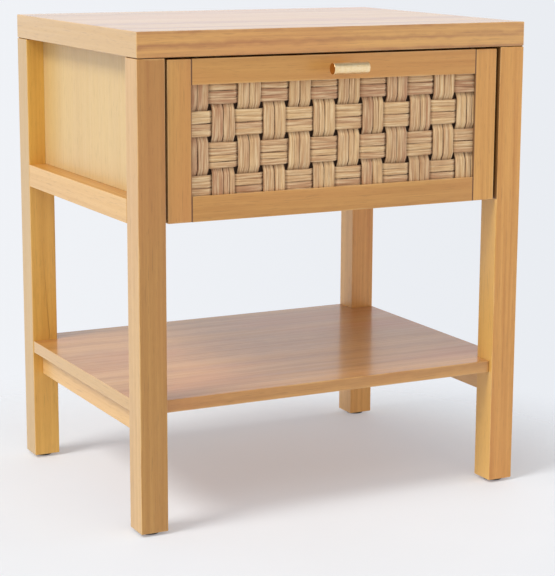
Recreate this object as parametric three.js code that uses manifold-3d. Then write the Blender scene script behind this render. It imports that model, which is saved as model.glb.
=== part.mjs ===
// A nightstand: four square legs, a slab top, one drawer with a woven front, and an open lower shelf.
// Millimetres, +Z up. -Y is the drawer's side, and +X is to the right of someone facing it.
// The origin is on the floor, under the middle of the whole object's box, pull included.
import * as THREE from 'three';
import { mergeVertices } from 'three/addons/utils/BufferGeometryUtils.js';
import Module from 'manifold-3d';

const wasm = await Module();
wasm.setup();

// ---------------------------------------------------------------- driving dimensions
const WIDTH = 559;              // across the legs, and the top
const DEPTH = 430;              // front leg faces to back leg faces
const HEIGHT = 635;
const GAP = 0.3;                // between pieces that touch

const TOP_THICKNESS = 32;
const TOP_REVEAL = 0.8;         // shadow line between the top and the legs
const LEG = 37;                 // square section
const GLIDE = { radius: 13, height: 3.5, pin: 1.6, pinLength: 16 };

const SIDE_RAIL = { bottom: 397.4, height: 30.4 };
const SIDE_PANEL = 12.5;        // its inner face is flush with the legs' inner faces
const BACK_PANEL = { thickness: 12, inset: 6 };
const TOP_RAIL = { depth: 20, height: 18, setBack: 12 };
const TOP_CLEAT = 18;

const SHELF = { top: 173.6, thickness: 16.2, frontInset: 6, sideInset: 1, backInset: 1 };
const SHELF_RAIL = { inset: 14, thickness: 15, bottom: 124.5 };

const FRONT = {                 // the drawer's woven front
  bottom: 398.5, height: 201.8, sideGap: 4.1, recess: 3, thickness: 20,
  stile: 32.4, rail: 31.9, lip: 3.5, groove: 12.5, grooveDepth: 8,
};
const BOX = { thickness: 12, bottom: 410, height: 152, depth: 340, panel: 5, panelUp: 10, panelDepth: 6 };
const WEAVE = {
  columns: 12, columnPitch: 35.7, columnWidth: 30.7,
  rows: 4, rowPitch: 40, rowHeight: 31,
  strand: 3.6, wave: 2.05, flatMargin: 0.4,
};
const BACKING = 3.9;
const PULL = {
  length: 51, radius: 7.3, reach: 28.2, chamfer: 0.6, post: 4.25, seat: 3, screw: 2, screwLength: 30,
};

const TOP_SCREW_X = 170;
const SLIDE = { length: 300, height: 45, width: 12.7, sheet: 1.2, frontGap: 4, level: 486 };

const RAIL_TENON = { thickness: 12, height: 20, length: 15 };
const SHELF_TENON = { thickness: 8, height: 22, length: 12 };
const TONGUE = { thickness: 6, length: 6 };   // on the panels' upright edges
const SCREW = { radius: 1.8, headRadius: 3.8, headHeight: 2, length: 30, sink: 4 };

// ---------------------------------------------------------------- worked-out places
const pullProud = PULL.reach + PULL.radius - FRONT.recess;
const yLegFront = -(DEPTH + pullProud) / 2 + pullProud;
const yLegBack = yLegFront + DEPTH;
const yInFront = yLegFront + LEG;             // the legs' inner faces
const yInBack = yLegBack - LEG;
const yCentre = (yLegFront + yLegBack) / 2;
const xOut = WIDTH / 2;
const xIn = xOut - LEG;
const zUnderTop = HEIGHT - TOP_THICKNESS;
const zLegTop = zUnderTop - TOP_REVEAL;
const zRailTop = SIDE_RAIL.bottom + SIDE_RAIL.height;
const zShelfBottom = SHELF.top - SHELF.thickness;
const yFace = yLegFront + FRONT.recess;       // the drawer front's face
const yFrontBack = yFace + FRONT.thickness;
const xFront = xIn - FRONT.sideGap;
const xOpening = xFront - FRONT.stile;
const xBox = xIn - SLIDE.width - GAP;         // the drawer box's outer faces
const SIDES = [['left', -1], ['right', 1]];
const ENDS = [['front', -1], ['back', 1]];

// ---------------------------------------------------------------- materials
function finish(color, roughness, metalness = 0) {
  return new THREE.MeshStandardMaterial({ color, roughness, metalness });
}
const materials = {
  wood: finish(0xd0a368, 0.42),
  veneer: finish(0xdcb684, 0.45),
  innerWood: finish(0xd9c09a, 0.6),
  ply: finish(0xcdb285, 0.65),
  dark: finish(0x3a2a1c, 0.8),
  cord: finish(0xc4a27c, 0.85),
  dowel: finish(0xdcc59c, 0.7),
  brass: finish(0xd9b765, 0.22, 1),
  steel: finish(0xb6b9bc, 0.32, 1),
  nylon: finish(0x1b1a19, 0.6),
};

// ---------------------------------------------------------------- shape helpers
const model = new THREE.Group();
model.name = 'nightstand';
const drawer = new THREE.Group();
model.add(drawer);

function place(parent, name, geometry, material, position = [0, 0, 0]) {
  const mesh = new THREE.Mesh(geometry, material);
  mesh.name = name;
  mesh.position.set(...position);
  parent.add(mesh);
  return mesh;
}

// A board between two limits on each axis.
function board(parent, name, x, y, z, material) {
  const geometry = new THREE.BoxGeometry(x[1] - x[0], y[1] - y[0], z[1] - z[0]);
  const middle = [x, y, z].map(([low, high]) => (low + high) / 2);
  return place(parent, name, geometry, material, middle);
}

// An outline swept along one axis. Its points hold the other two coordinates, in X, Y, Z order.
function prism(outline, axis, from, to) {
  const points = outline.map(([a, b]) => (axis === 'y' ? new THREE.Vector2(b, a) : new THREE.Vector2(a, b)));
  const geometry = new THREE.ExtrudeGeometry(new THREE.Shape(points), {
    depth: to - from, bevelEnabled: false, steps: 1,
  });
  geometry.translate(0, 0, from);
  const [right, up, along] = {
    x: [[0, 1, 0], [0, 0, 1], [1, 0, 0]],
    y: [[0, 0, 1], [1, 0, 0], [0, 1, 0]],
    z: [[1, 0, 0], [0, 1, 0], [0, 0, 1]],
  }[axis].map((v) => new THREE.Vector3(...v));
  return geometry.applyMatrix4(new THREE.Matrix4().makeBasis(right, up, along));
}

// Turns a shape made along +Z to point along a direction, and moves its base to a point.
function aim(geometry, at, direction) {
  const turn = new THREE.Quaternion().setFromUnitVectors(
    new THREE.Vector3(0, 0, 1), new THREE.Vector3(...direction).normalize());
  return geometry.applyQuaternion(turn).translate(...at);
}

// A round bar of radius r that starts at a point and runs along a direction.
function rod(at, direction, radius, length, sides = 12) {
  const geometry = new THREE.CylinderGeometry(radius, radius, length, sides);
  geometry.rotateX(Math.PI / 2).translate(0, 0, length / 2);
  return aim(geometry, at, direction);
}

// A solid of revolution about +Z, from [radius, height] points that start and end on the axis.
function turned(profile, sides = 12) {
  const points = profile.map(([radius, height]) => new THREE.Vector2(radius, height));
  return new THREE.LatheGeometry(points, sides).rotateX(Math.PI / 2);
}

// A screw whose head seats at a point, with its shank running along a direction.
function screw(at, direction) {
  const { radius, headRadius, headHeight, length } = SCREW;
  return aim(turned([
    [0, -headHeight], [headRadius, -headHeight], [headRadius, 0],
    [radius, 0], [radius, length - 2 * radius], [0, length],
  ]), at, direction);
}

// ---------------------------------------------------------------- solid cuts and joins
function toSolid(geometry) {
  const bare = geometry.clone();
  bare.deleteAttribute('normal');
  bare.deleteAttribute('uv');
  const merged = mergeVertices(bare, 1e-4);
  return new wasm.Manifold(new wasm.Mesh({
    numProp: 3,
    vertProperties: new Float32Array(merged.attributes.position.array),
    triVerts: new Uint32Array(merged.index.array),
  }));
}

function toGeometry(solid) {
  const { vertProperties, triVerts } = solid.getMesh();
  const geometry = new THREE.BufferGeometry();
  geometry.setAttribute('position', new THREE.BufferAttribute(vertProperties, 3));
  geometry.setIndex(new THREE.BufferAttribute(triVerts, 1));
  geometry.computeVertexNormals();
  return geometry;
}

function join(...geometries) {
  return toGeometry(geometries.map(toSolid).reduce((whole, next) => whole.add(next)));
}

// Cuts a placed piece with shapes that stand in its parent's frame.
function cut(mesh, cutters) {
  mesh.updateMatrix();
  const toPiece = mesh.matrix.clone().invert();
  let solid = toSolid(mesh.geometry);
  for (const cutter of cutters) {
    solid = solid.subtract(toSolid(cutter.clone().applyMatrix4(toPiece)));
  }
  mesh.geometry = toGeometry(solid);
  return mesh;
}

// A box between two limits on each axis, and the same box grown all round for its socket.
function block(x, y, z, grow = 0) {
  const size = [x, y, z].map(([low, high]) => high - low + 2 * grow);
  const middle = [x, y, z].map(([low, high]) => (low + high) / 2);
  return new THREE.BoxGeometry(...size).translate(...middle);
}

function about(middle, size) {
  return [middle - size / 2, middle + size / 2];
}

function mirrored(side, low, high) {
  return side < 0 ? [-high, -low] : [low, high];
}

// ---------------------------------------------------------------- case joinery
// The tenons and tongues that run into the legs, as limits on each axis.
const backY = [yLegBack - BACK_PANEL.inset - BACK_PANEL.thickness, yLegBack - BACK_PANEL.inset];
const shelfRailMiddle = xOut - SHELF_RAIL.inset - SHELF_RAIL.thickness / 2;

function railTenon(side) {
  const { thickness, height, length } = RAIL_TENON;
  return [
    about(side * (xOut - LEG / 2), thickness), [yInFront - length, yInBack + length],
    about(SIDE_RAIL.bottom + SIDE_RAIL.height / 2, height),
  ];
}

function shelfRailTenon(side) {
  const { thickness, height, length } = SHELF_TENON;
  return [
    about(side * shelfRailMiddle, thickness), [yInFront - length, yInBack + length],
    about((SHELF_RAIL.bottom + zShelfBottom) / 2, height),
  ];
}

function panelTongue(side) {
  return [
    about(side * (xIn + SIDE_PANEL / 2), TONGUE.thickness),
    [yInFront - TONGUE.length, yInBack + TONGUE.length],
    [zRailTop + GAP, zUnderTop - GAP],
  ];
}

function backTongue() {
  const reach = xIn + TONGUE.length;
  const y = about((backY[0] + backY[1]) / 2, TONGUE.thickness);
  return [[-reach, reach], y, [SIDE_RAIL.bottom, zUnderTop - GAP]];
}

// ---------------------------------------------------------------- legs and glides
function addLegs() {
  const sockets = SIDES.flatMap(([, side]) => [railTenon(side), shelfRailTenon(side), panelTongue(side)]);
  sockets.push(backTongue());
  const cutters = sockets.map((limits) => block(...limits, GAP));
  for (const [endName, end] of ENDS) {
    for (const [sideName, side] of SIDES) {
      const x = mirrored(side, xIn, xOut);
      const y = end < 0 ? [yLegFront, yInFront] : [yInBack, yLegBack];
      const middle = [(x[0] + x[1]) / 2, (y[0] + y[1]) / 2];
      const z = [GLIDE.height + GAP, zLegTop];
      const leg = board(model, `${endName}_${sideName}_leg`, x, y, z, materials.wood);
      const pinHole = rod([...middle, 0], [0, 0, 1], GLIDE.pin + GAP, GLIDE.height + GLIDE.pinLength + 1);
      cut(leg, [...cutters, pinHole]);
      addGlide(`${endName}_${sideName}_glide`, middle);
    }
  }
}

// A round glide with a domed rim and the pin that holds it in the leg.
function addGlide(name, [x, y]) {
  const { radius, height, pin, pinLength } = GLIDE;
  const profile = [
    [0, 0], [radius - 1.4, 0], [radius - 0.4, 0.5], [radius, 1.5], [radius, height],
    [pin, height], [pin, height + pinLength - 2], [0, height + pinLength],
  ];
  place(model, name, turned(profile, 24), materials.nylon, [x, y, 0]);
}

// ---------------------------------------------------------------- case sides, back and top
function addSides() {
  const y = [yInFront + GAP, yInBack - GAP];
  for (const [name, side] of SIDES) {
    const railBody = block(mirrored(side, xIn, xOut), y, [SIDE_RAIL.bottom, zRailTop]);
    const rail = join(railBody, block(...railTenon(side)));
    place(model, `${name}_side_rail`, rail, materials.wood);
    const z = [zRailTop + GAP, zUnderTop - GAP];
    const panel = join(block(mirrored(side, xIn, xIn + SIDE_PANEL), y, z), block(...panelTongue(side)));
    place(model, `${name}_side_panel`, panel, materials.veneer);
  }
}

function addBack() {
  const face = block([-xIn + GAP, xIn - GAP], backY, [SIDE_RAIL.bottom, zUnderTop - GAP]);
  place(model, 'back_panel', join(face, block(...backTongue())), materials.veneer);
}

// The top is screwed on from below, through a rail behind the drawer front and a cleat on the back panel.
function addTop() {
  const railFront = yFrontBack + TOP_RAIL.setBack;
  const railY = [railFront, railFront + TOP_RAIL.depth];
  const cleatY = [backY[0] - GAP - TOP_CLEAT, backY[0] - GAP];
  const x = [-xIn + GAP, xIn - GAP];
  const z = [zUnderTop - GAP - TOP_RAIL.height, zUnderTop - GAP];
  const seat = z[0] + SCREW.sink;
  const up = [0, 0, 1];
  const places = ENDS.flatMap(([endName, end]) => SIDES.map(([sideName, side]) => {
    const y = end < 0 ? railY : cleatY;
    return [`${endName}_${sideName}_top_screw`, [side * TOP_SCREW_X, (y[0] + y[1]) / 2, seat]];
  }));
  const holes = places.flatMap(([, [px, py, pz]]) => [
    rod([px, py, pz - SCREW.sink - 1], up, SCREW.headRadius + GAP, SCREW.sink + 1),
    rod([px, py, pz - 1], up, SCREW.radius + GAP, SCREW.length + 2),
  ]);
  cut(board(model, 'front_top_rail', x, railY, z, materials.innerWood), holes);
  cut(board(model, 'back_top_cleat', x, cleatY, z, materials.innerWood), holes);
  const topLimits = [[-xOut, xOut], [yLegFront, yLegBack], [zUnderTop, HEIGHT]];
  cut(board(model, 'top_panel', ...topLimits, materials.veneer), holes);
  for (const [name, at] of places) place(model, name, screw(at, up), materials.steel);
}

// ---------------------------------------------------------------- lower shelf
function shelfOutline() {
  const wide = xOut - SHELF.sideInset;
  const narrow = xIn - GAP;
  const front = yLegFront + SHELF.frontInset;
  const back = yLegBack - SHELF.backInset;
  const notchFront = yInFront + GAP;
  const notchBack = yInBack - GAP;
  return [
    [-narrow, front], [narrow, front], [narrow, notchFront], [wide, notchFront],
    [wide, notchBack], [narrow, notchBack], [narrow, back], [-narrow, back],
    [-narrow, notchBack], [-wide, notchBack], [-wide, notchFront], [-narrow, notchFront],
  ];
}

function addShelf() {
  const shelf = prism(shelfOutline(), 'z', zShelfBottom, SHELF.top);
  place(model, 'shelf', shelf, materials.veneer);
  for (const [name, side] of SIDES) {
    const inner = xOut - SHELF_RAIL.inset - SHELF_RAIL.thickness;
    const x = mirrored(side, inner, inner + SHELF_RAIL.thickness);
    const body = block(x, [yInFront + GAP, yInBack - GAP], [SHELF_RAIL.bottom, zShelfBottom - GAP]);
    place(model, `${name}_shelf_rail`, join(body, block(...shelfRailTenon(side))), materials.wood);
  }
}

// ---------------------------------------------------------------- telescopic slides
// Three nested channels each side. web and open are distances from the case side towards the drawer box.
const slideY = [yFrontBack + SLIDE.frontGap, yFrontBack + SLIDE.frontGap + SLIDE.length];
const CHANNELS = {
  cabinet: { web: GAP, open: 11, half: SLIDE.height / 2, flip: false },
  middle: { web: 4, open: 11.6, half: SLIDE.height / 2 - 4.6, flip: false },
  drawer: { web: SLIDE.width, open: 6.2, half: SLIDE.height / 2 - 9.4, flip: true },
};

function channelOutline({ web, open, half, flip }, side) {
  const inner = web + (flip ? -SLIDE.sheet : SLIDE.sheet);
  const lip = half - SLIDE.sheet;
  const points = [
    [web, -half], [open, -half], [open, -lip], [inner, -lip],
    [inner, lip], [open, lip], [open, half], [web, half],
  ];
  return points.map(([s, z]) => [side * (xIn - s), SLIDE.level + z]);
}

function addSlides() {
  for (const [name, side] of SIDES) {
    for (const [member, channel] of Object.entries(CHANNELS)) {
      const parent = member === 'drawer' ? drawer : model;
      const shape = prism(channelOutline(channel, side), 'y', ...slideY);
      place(parent, `${name}_slide_${member}`, shape, materials.steel);
    }
  }
}

// ---------------------------------------------------------------- drawer front
const frontZ = [FRONT.bottom, FRONT.bottom + FRONT.height];
const openingZ = [frontZ[0] + FRONT.rail, frontZ[1] - FRONT.rail];
const zWeave = (openingZ[0] + openingZ[1]) / 2;
const grooveY = [yFace + FRONT.lip, yFace + FRONT.lip + FRONT.groove];
const zPull = frontZ[1] - FRONT.rail / 2;

// Stiles and rails have a groove along their inner edge, and the rails' stub tenons sit in the stiles'.
function stileOutline(side) {
  const floor = xOpening + FRONT.grooveDepth;
  return [
    [xFront, yFace], [xFront, yFrontBack], [xOpening, yFrontBack], [xOpening, grooveY[1]],
    [floor, grooveY[1]], [floor, grooveY[0]], [xOpening, grooveY[0]], [xOpening, yFace],
  ].map(([x, y]) => [side * x, y]);
}

function railShape(outer, inner) {
  const floor = inner + Math.sign(outer - inner) * FRONT.grooveDepth;
  const body = prism([
    [yFace, outer], [yFrontBack, outer], [yFrontBack, inner], [grooveY[1], inner],
    [grooveY[1], floor], [grooveY[0], floor], [grooveY[0], inner], [yFace, inner],
  ], 'x', -xOpening + GAP / 2, xOpening - GAP / 2);
  const low = Math.min(outer, floor);
  const high = Math.max(outer, floor);
  const reach = xOpening + FRONT.grooveDepth - GAP;
  const tenon = new THREE.BoxGeometry(2 * reach, FRONT.groove - 2 * GAP, high - low - 2);
  tenon.translate(0, (grooveY[0] + grooveY[1]) / 2, (low + high) / 2);
  return join(body, tenon);
}

function addFrame() {
  for (const [name, side] of SIDES) {
    place(drawer, `drawer_${name}_stile`, prism(stileOutline(side), 'z', 0, FRONT.height), materials.wood,
      [0, 0, FRONT.bottom]);
  }
  place(drawer, 'drawer_bottom_rail', railShape(frontZ[0], openingZ[0]), materials.wood);
  const top = place(drawer, 'drawer_top_rail', railShape(frontZ[1], openingZ[1]), materials.wood);
  const start = [0, yFace - 1, zPull];
  cut(top, [rod(start, [0, 1, 0], PULL.screw + GAP, FRONT.thickness + 2)]);
}

// ---------------------------------------------------------------- woven panel
// A strand's side outline: flat over and under each crossing, with short slopes between them.
function strandOutline(crossings, flat, ends, middle, firstSign) {
  const line = [[ends[0], firstSign]];
  crossings.forEach((centre, i) => {
    const sign = i % 2 ? -firstSign : firstSign;
    line.push([centre - flat, sign], [centre + flat, sign]);
  });
  line.push([ends[1], line[line.length - 1][1]]);
  const inside = line.filter(([at]) => at >= ends[0] && at <= ends[1]);
  const half = WEAVE.strand / 2;
  const offset = (sign) => middle - sign * WEAVE.wave;
  const near = inside.map(([at, sign]) => [at, offset(sign) - half]);
  const far = inside.map(([at, sign]) => [at, offset(sign) + half]).reverse();
  return [...near, ...far];
}

function centres(count, pitch, about) {
  return Array.from({ length: count }, (_, i) => about + (i - (count - 1) / 2) * pitch);
}

function addWeave() {
  const reach = FRONT.grooveDepth - 1;
  const middle = grooveY[0] + GAP + WEAVE.wave + WEAVE.strand / 2;
  const columns = centres(WEAVE.columns, WEAVE.columnPitch, 0);
  const rows = centres(WEAVE.rows, WEAVE.rowPitch, zWeave);
  const xEnds = [-xOpening - reach, xOpening + reach];
  const zEnds = [openingZ[0] - reach, openingZ[1] + reach];
  const uprightFlat = WEAVE.rowHeight / 2 + WEAVE.flatMargin;
  const bandFlat = WEAVE.columnWidth / 2 + WEAVE.flatMargin;
  columns.forEach((x, i) => {
    const outline = strandOutline(rows, uprightFlat, zEnds, middle, i % 2 ? 1 : -1);
    const left = Math.max(x - WEAVE.columnWidth / 2, xEnds[0]);
    const right = Math.min(x + WEAVE.columnWidth / 2, xEnds[1]);
    const upright = prism(outline.map(([z, y]) => [y, z]), 'x', left, right);
    place(drawer, `woven_upright_${i + 1}`, upright, materials.cord);
  });
  rows.forEach((z, i) => {
    const outline = strandOutline(columns, bandFlat, xEnds, middle, i % 2 ? -1 : 1);
    const band = prism(outline, 'z', z - WEAVE.rowHeight / 2, z + WEAVE.rowHeight / 2);
    place(drawer, `woven_band_${i + 1}`, band, materials.cord);
  });
  board(drawer, 'weave_backing', [xEnds[0], xEnds[1]], [grooveY[1] - GAP - BACKING, grooveY[1] - GAP],
    zEnds, materials.dark);
}

// ---------------------------------------------------------------- drawer box
const boxY = [yFrontBack + GAP, yFrontBack + GAP + BOX.depth];
const boxZ = [BOX.bottom, BOX.bottom + BOX.height];
const panelZ = [BOX.bottom + BOX.panelUp, BOX.bottom + BOX.panelUp + BOX.panel];

// A board's end outline with a groove for the drawer's bottom panel in its inner face.
function groovedOutline(outer, inner) {
  const floor = inner + Math.sign(outer - inner) * BOX.panelDepth;
  const [low, high] = [panelZ[0] - GAP, panelZ[1] + GAP];
  return [
    [outer, boxZ[0]], [outer, boxZ[1]], [inner, boxZ[1]], [inner, high],
    [floor, high], [floor, low], [inner, low], [inner, boxZ[0]],
  ];
}

function addBox() {
  for (const [name, side] of SIDES) {
    const outline = groovedOutline(side * xBox, side * (xBox - BOX.thickness));
    place(drawer, `drawer_${name}_side`, prism(outline, 'y', ...boxY), materials.innerWood);
  }
  const inside = xBox - BOX.thickness - GAP;
  const front = prism(groovedOutline(boxY[0], boxY[0] + BOX.thickness), 'x', -inside, inside);
  place(drawer, 'drawer_box_front', front, materials.innerWood);
  board(drawer, 'drawer_back', [-inside, inside], [boxY[1] - BOX.thickness, boxY[1]],
    [panelZ[1] + GAP, boxZ[1]], materials.innerWood);
  const tongue = xBox - BOX.thickness + BOX.panelDepth - GAP;
  const tongueFront = boxY[0] + BOX.thickness - BOX.panelDepth + GAP;
  board(drawer, 'drawer_bottom', [-tongue, tongue], [tongueFront, boxY[1]], panelZ, materials.ply);
}

// ---------------------------------------------------------------- pull
function addPull() {
  const { length, radius, reach, post, chamfer, seat, screw: shank, screwLength } = PULL;
  const back = [0, 1, 0];
  const yBar = yFace - reach;
  const half = length / 2;
  const bar = aim(turned([
    [0, 0], [radius - chamfer, 0], [radius, chamfer], [radius, length - chamfer], [radius - chamfer, length],
    [0, length],
  ], 40), [-half, yBar, zPull], [1, 0, 0]);
  const barMesh = place(drawer, 'pull_bar', bar, materials.brass);
  const socket = rod([0, yBar + radius - seat - GAP, zPull], back, post + GAP, seat + 2, 24);
  cut(barMesh, [socket]);
  const postLength = reach - radius + seat - GAP;
  const stem = rod([0, yFace - GAP - postLength, zPull], back, post, postLength, 24);
  const stemHole = rod([0, yFrontBack - screwLength - 1, zPull], back, shank + GAP, screwLength + 2);
  cut(place(drawer, 'pull_post', stem, materials.brass), [stemHole]);
  const panHead = [[0, -2.4], [2.6, -2.4], [4.2, -1], [4.2, 0]];
  const screwShape = turned([...panHead, [shank, 0], [shank, screwLength], [0, screwLength]]);
  place(drawer, 'pull_screw', aim(screwShape, [0, yFrontBack + GAP, zPull], [0, -1, 0]), materials.steel);
}

addLegs();
addSides();
addBack();
addTop();
addShelf();
addSlides();
addFrame();
addWeave();
addBox();
addPull();

export default model;
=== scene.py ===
import math
import random

import bmesh
import bpy
from mathutils import Matrix, Vector, noise


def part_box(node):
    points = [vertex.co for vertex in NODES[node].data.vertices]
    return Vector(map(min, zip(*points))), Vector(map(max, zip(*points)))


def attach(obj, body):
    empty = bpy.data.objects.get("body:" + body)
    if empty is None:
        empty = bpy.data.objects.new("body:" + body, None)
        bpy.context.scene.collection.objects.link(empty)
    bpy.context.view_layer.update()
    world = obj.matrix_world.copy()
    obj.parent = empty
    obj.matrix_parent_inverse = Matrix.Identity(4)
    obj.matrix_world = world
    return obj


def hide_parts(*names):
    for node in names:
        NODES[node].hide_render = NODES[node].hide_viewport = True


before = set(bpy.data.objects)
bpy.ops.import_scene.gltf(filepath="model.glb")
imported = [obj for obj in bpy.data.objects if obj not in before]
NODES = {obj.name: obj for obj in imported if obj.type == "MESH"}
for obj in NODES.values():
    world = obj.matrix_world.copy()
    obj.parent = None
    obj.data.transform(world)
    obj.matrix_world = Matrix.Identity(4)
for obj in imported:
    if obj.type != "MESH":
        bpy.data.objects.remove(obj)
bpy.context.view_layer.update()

MM = 0.001
SIDES = ("left", "right")
ENDS = ("front", "back")


def rgb(red, green, blue):
    """A colour from screen values of 0 to 255, as linear light."""
    def linear(value):
        share = value / 255
        return share / 12.92 if share <= 0.04045 else ((share + 0.055) / 1.055) ** 2.4
    return (linear(red), linear(green), linear(blue), 1.0)


def link(obj):
    bpy.context.scene.collection.objects.link(obj)
    return obj


def new_mesh(name, points, faces, smooth=True):
    mesh = bpy.data.meshes.new(name)
    mesh.from_pydata(points, [], faces)
    mesh.polygons.foreach_set("use_smooth", [smooth] * len(mesh.polygons))
    return mesh


# ---------------------------------------------------------------- camera and lights
CAMERA_PLACE = (-1.1436, -2.2582, 0.7723)
CAMERA_YAW, CAMERA_PITCH, CAMERA_ROLL = 27.13, 11.40, 0.246     # degrees
CAMERA_LENS, SENSOR_WIDTH = 115.55, 36

KEY_DIRECTION = (0.66, 0.10, -0.75)
KEY_STRENGTH = 2.2
KEY_SPREAD = 22                     # degrees, so that its shadows are soft
KEY_COLOR = (1.0, 0.985, 0.95)

SOFTBOX_PLACE, SOFTBOX_AIM = (-0.3, -1.5, 2.3), (0, 0, 0.4)
SOFTBOX_SIZE = (2.0, 1.2)
SOFTBOX_POWER = 10


def add_camera():
    yaw, pitch, roll = (math.radians(angle) for angle in (CAMERA_YAW, CAMERA_PITCH, CAMERA_ROLL))
    camera = link(bpy.data.objects.new("camera", bpy.data.cameras.new("camera")))
    camera.data.lens = CAMERA_LENS
    camera.data.sensor_width = SENSOR_WIDTH
    turn = Matrix.Rotation(-yaw, 4, "Z") @ Matrix.Rotation(math.pi / 2 - pitch, 4, "X")
    camera.matrix_world = Matrix.Translation(CAMERA_PLACE) @ turn @ Matrix.Rotation(roll, 4, "Z")
    bpy.context.scene.camera = camera


def shine(obj, direction):
    obj.rotation_euler = Vector(direction).to_track_quat("-Z", "Y").to_euler()


def add_key():
    """A broad, distant light from the upper left, so that the floor is lit evenly."""
    light = bpy.data.lights.new("key", "SUN")
    light.energy = KEY_STRENGTH
    light.angle = math.radians(KEY_SPREAD)
    light.color = KEY_COLOR
    shine(link(bpy.data.objects.new("key", light)), KEY_DIRECTION)


def add_softbox():
    """A weak light above and in front, that lifts the top and the drawer's front."""
    light = bpy.data.lights.new("overhead_front", "AREA")
    light.shape = "RECTANGLE"
    light.size, light.size_y = SOFTBOX_SIZE
    light.energy = SOFTBOX_POWER
    obj = link(bpy.data.objects.new("overhead_front", light))
    obj.location = SOFTBOX_PLACE
    obj.visible_camera = False
    shine(obj, Vector(SOFTBOX_AIM) - Vector(SOFTBOX_PLACE))


# ---------------------------------------------------------------- node trees
class Tree:
    """A node tree under construction. Each method adds nodes and returns the last one's output."""

    def __init__(self, tree):
        self.tree = tree
        self.tree.nodes.clear()

    def node(self, kind, inputs=None, out=0, **settings):
        made = self.tree.nodes.new("ShaderNode" + kind)
        for key, value in settings.items():
            setattr(made, key, value)
        for key, value in (inputs or {}).items():
            self.feed(made.inputs[key], value)
        return made.outputs[out] if made.outputs else None

    def feed(self, socket, value):
        if isinstance(value, bpy.types.NodeSocket):
            self.tree.links.new(value, socket)
        else:
            socket.default_value = value

    def place(self):
        """The point on the object, in the frame and at rest."""
        return self.node("TexCoord", out="Object")

    def parts(self, vector):
        """A vector's outputs, by the names X, Y and Z."""
        return self.node("SeparateXYZ", {0: vector}).node.outputs

    def math(self, operation, a, b=0.0, clamp=False):
        return self.node("Math", {0: a, 1: b}, operation=operation, use_clamp=clamp)

    def vector(self, operation, a, b):
        return self.node("VectorMath", {0: a, 1: b}, operation=operation)

    def noise(self, vector, rates, detail=2.0, roughness=0.5):
        """Noise from 0 to 1. rates is how often it changes along each axis, per metre."""
        scaled = self.vector("MULTIPLY", vector, rates)
        settings = {"Vector": scaled, "Scale": 1.0, "Detail": detail, "Roughness": roughness}
        return self.node("TexNoise", settings)

    def span(self, value, low, high, to_low=0.0, to_high=1.0):
        """Eases from to_low to to_high as the value goes from low to high."""
        inputs = {"Value": value, "From Min": low, "From Max": high, "To Min": to_low, "To Max": to_high}
        return self.node("MapRange", inputs, clamp=True, interpolation_type="SMOOTHSTEP")

    def mix(self, factor, a, b):
        return self.node("Mix", {0: factor, 6: a, 7: b}, out=2, data_type="RGBA")

    def mix_vector(self, factor, a, b):
        return self.node("Mix", {0: factor, 4: a, 5: b}, out=1, data_type="VECTOR")

    def stain(self, color, mask, amount, other):
        """Mixes an amount of another colour in where the mask is 1."""
        return self.mix(self.math("MULTIPLY", mask, amount), color, other)

    def bump(self, height, strength, distance):
        return self.node("Bump", {"Height": height, "Strength": strength, "Distance": distance})

    def principled(self, inputs):
        return self.node("BsdfPrincipled", inputs)

    def surface(self, shader):
        self.node("OutputMaterial", {"Surface": shader})


def new_material(name):
    material = bpy.data.materials.new(name)
    material.use_nodes = True
    return material, Tree(material.node_tree)


# ---------------------------------------------------------------- studio
LIT_COLOR = (0.965, 0.975, 1.0, 1)
WALL_GLOWS = (                      # axis, where the glow begins and where it is full, strength
    ("Y", 0.0, 0.9, 0.50),          # behind
    ("X", -0.2, -0.9, 0.46),        # left
    ("X", 0.3, 0.9, 0.85),          # right
)
FRONT_RIGHT, FRONT_RIGHT_GLOW = (0.6, -0.8, 0), 0.22
UPPER_GLOW, OVERHEAD_GLOW, GLOW_BELOW = 0.50, 0.28, 0.85
BACKDROP_LEFT, BACKDROP_RIGHT = rgb(241, 243, 247), rgb(234, 237, 242)

FLOOR_RADIUS = 6.0
FLOOR_SIDES = 96
FLOOR_CENTRE = (-0.12, -0.08, 0)    # the middle of the floor's visible part
FLOOR_FADE = (0.40, 0.78)           # it fades out between these distances from there
FLOOR_TINTS = ((0.575, 0.595, 0.62, 1), (0.59, 0.61, 0.635, 1))
FLOOR_GLOW = (0.97, 0.96, 1.0, 1)
FLOOR_GLOW_STRENGTH = 0.24


def wall_glow(tree, direction):
    """The light from the studio's walls: strongest low down behind, on the left and on the right."""
    at = tree.parts(direction)
    glow = 0.0
    for axis, begin, full, strength in WALL_GLOWS:
        glow = tree.math("MAXIMUM", glow, tree.span(at[axis], begin, full, 0.0, strength))
    inputs = {0: direction, 1: FRONT_RIGHT}
    front_right = tree.node("VectorMath", inputs, out="Value", operation="DOT_PRODUCT")
    glow = tree.math("ADD", glow, tree.span(front_right, 0.3, 1.0, 0.0, FRONT_RIGHT_GLOW))
    low = tree.span(at["Z"], 0.25, 0.8, 1.0, 0.0)
    return tree.math("MULTIPLY", glow, low)


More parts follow.
